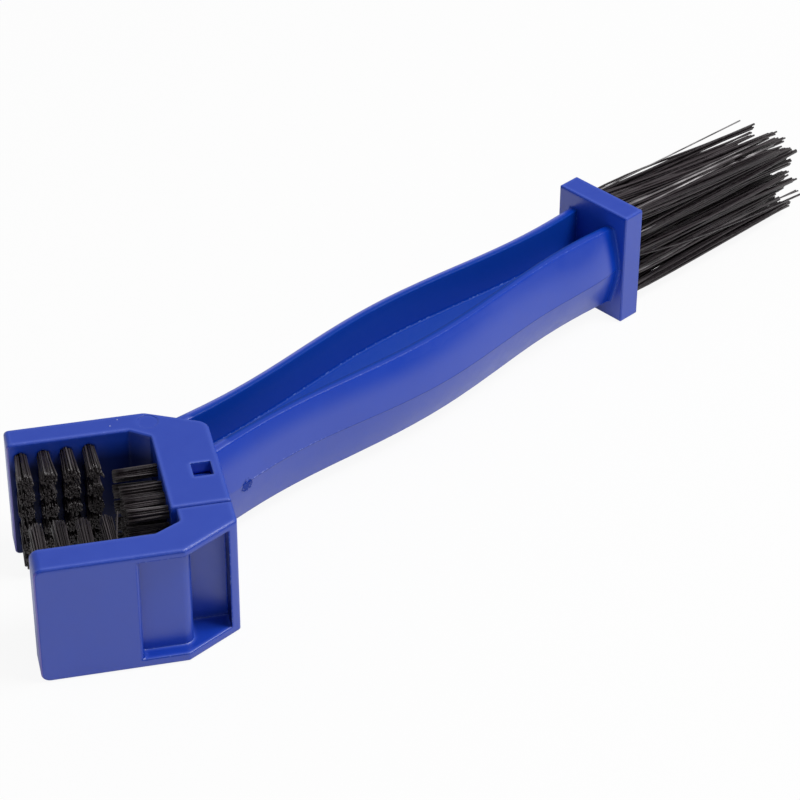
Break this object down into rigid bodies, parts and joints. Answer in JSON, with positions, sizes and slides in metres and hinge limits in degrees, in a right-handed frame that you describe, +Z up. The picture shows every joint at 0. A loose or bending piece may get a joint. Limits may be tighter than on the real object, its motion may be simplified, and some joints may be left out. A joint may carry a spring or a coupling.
{
  "type": "chain cleaning brush",
  "caption": "Three-sided chain-cleaning brush: a U-shaped head with short inward bristles, a bowed H-section handle and a square block of long stiff bristles.",
  "frame": {"origin": "middle of the end wall's underside, on the plane that the head and the bristle block stand on", "axes": "+X from the U's open mouth through its end wall, +Y towards the fixed arm, +Z up; the handle runs out 31.4 degrees from +X towards +Y"},
  "size_m": [0.2273, 0.1612, 0.032],
  "materials": {
    "blue_plastic": "satin, royal blue moulding",
    "black_nylon": "slightly glossy black filament",
    "anchor_wire": "plain flat wire"
  },
  "bodies": {
    "root": {"handle_body": "blue_plastic", "clip_arm": "blue_plastic", "fixed_arm_tufts_1": "black_nylon", "fixed_arm_tufts_2": "black_nylon", "fixed_arm_tufts_3": "black_nylon", "fixed_arm_tufts_4": "black_nylon", "fixed_arm_anchors": "anchor_wire", "clip_arm_tufts_1": "black_nylon", "clip_arm_tufts_2": "black_nylon", "clip_arm_tufts_3": "black_nylon", "clip_arm_tufts_4": "black_nylon", "clip_arm_anchors": "anchor_wire", "end_wall_tufts_1": "black_nylon", "end_wall_tufts_2": "black_nylon", "end_wall_tufts_3": "black_nylon", "end_wall_tufts_4": "black_nylon", "end_wall_anchors": "anchor_wire", "long_bristles_1": "black_nylon", "long_bristles_2": "black_nylon", "long_bristles_3": "black_nylon", "long_bristles_4": "black_nylon", "long_bristles_5": "black_nylon", "block_anchors": "anchor_wire"}
  },
  "joints": []
}
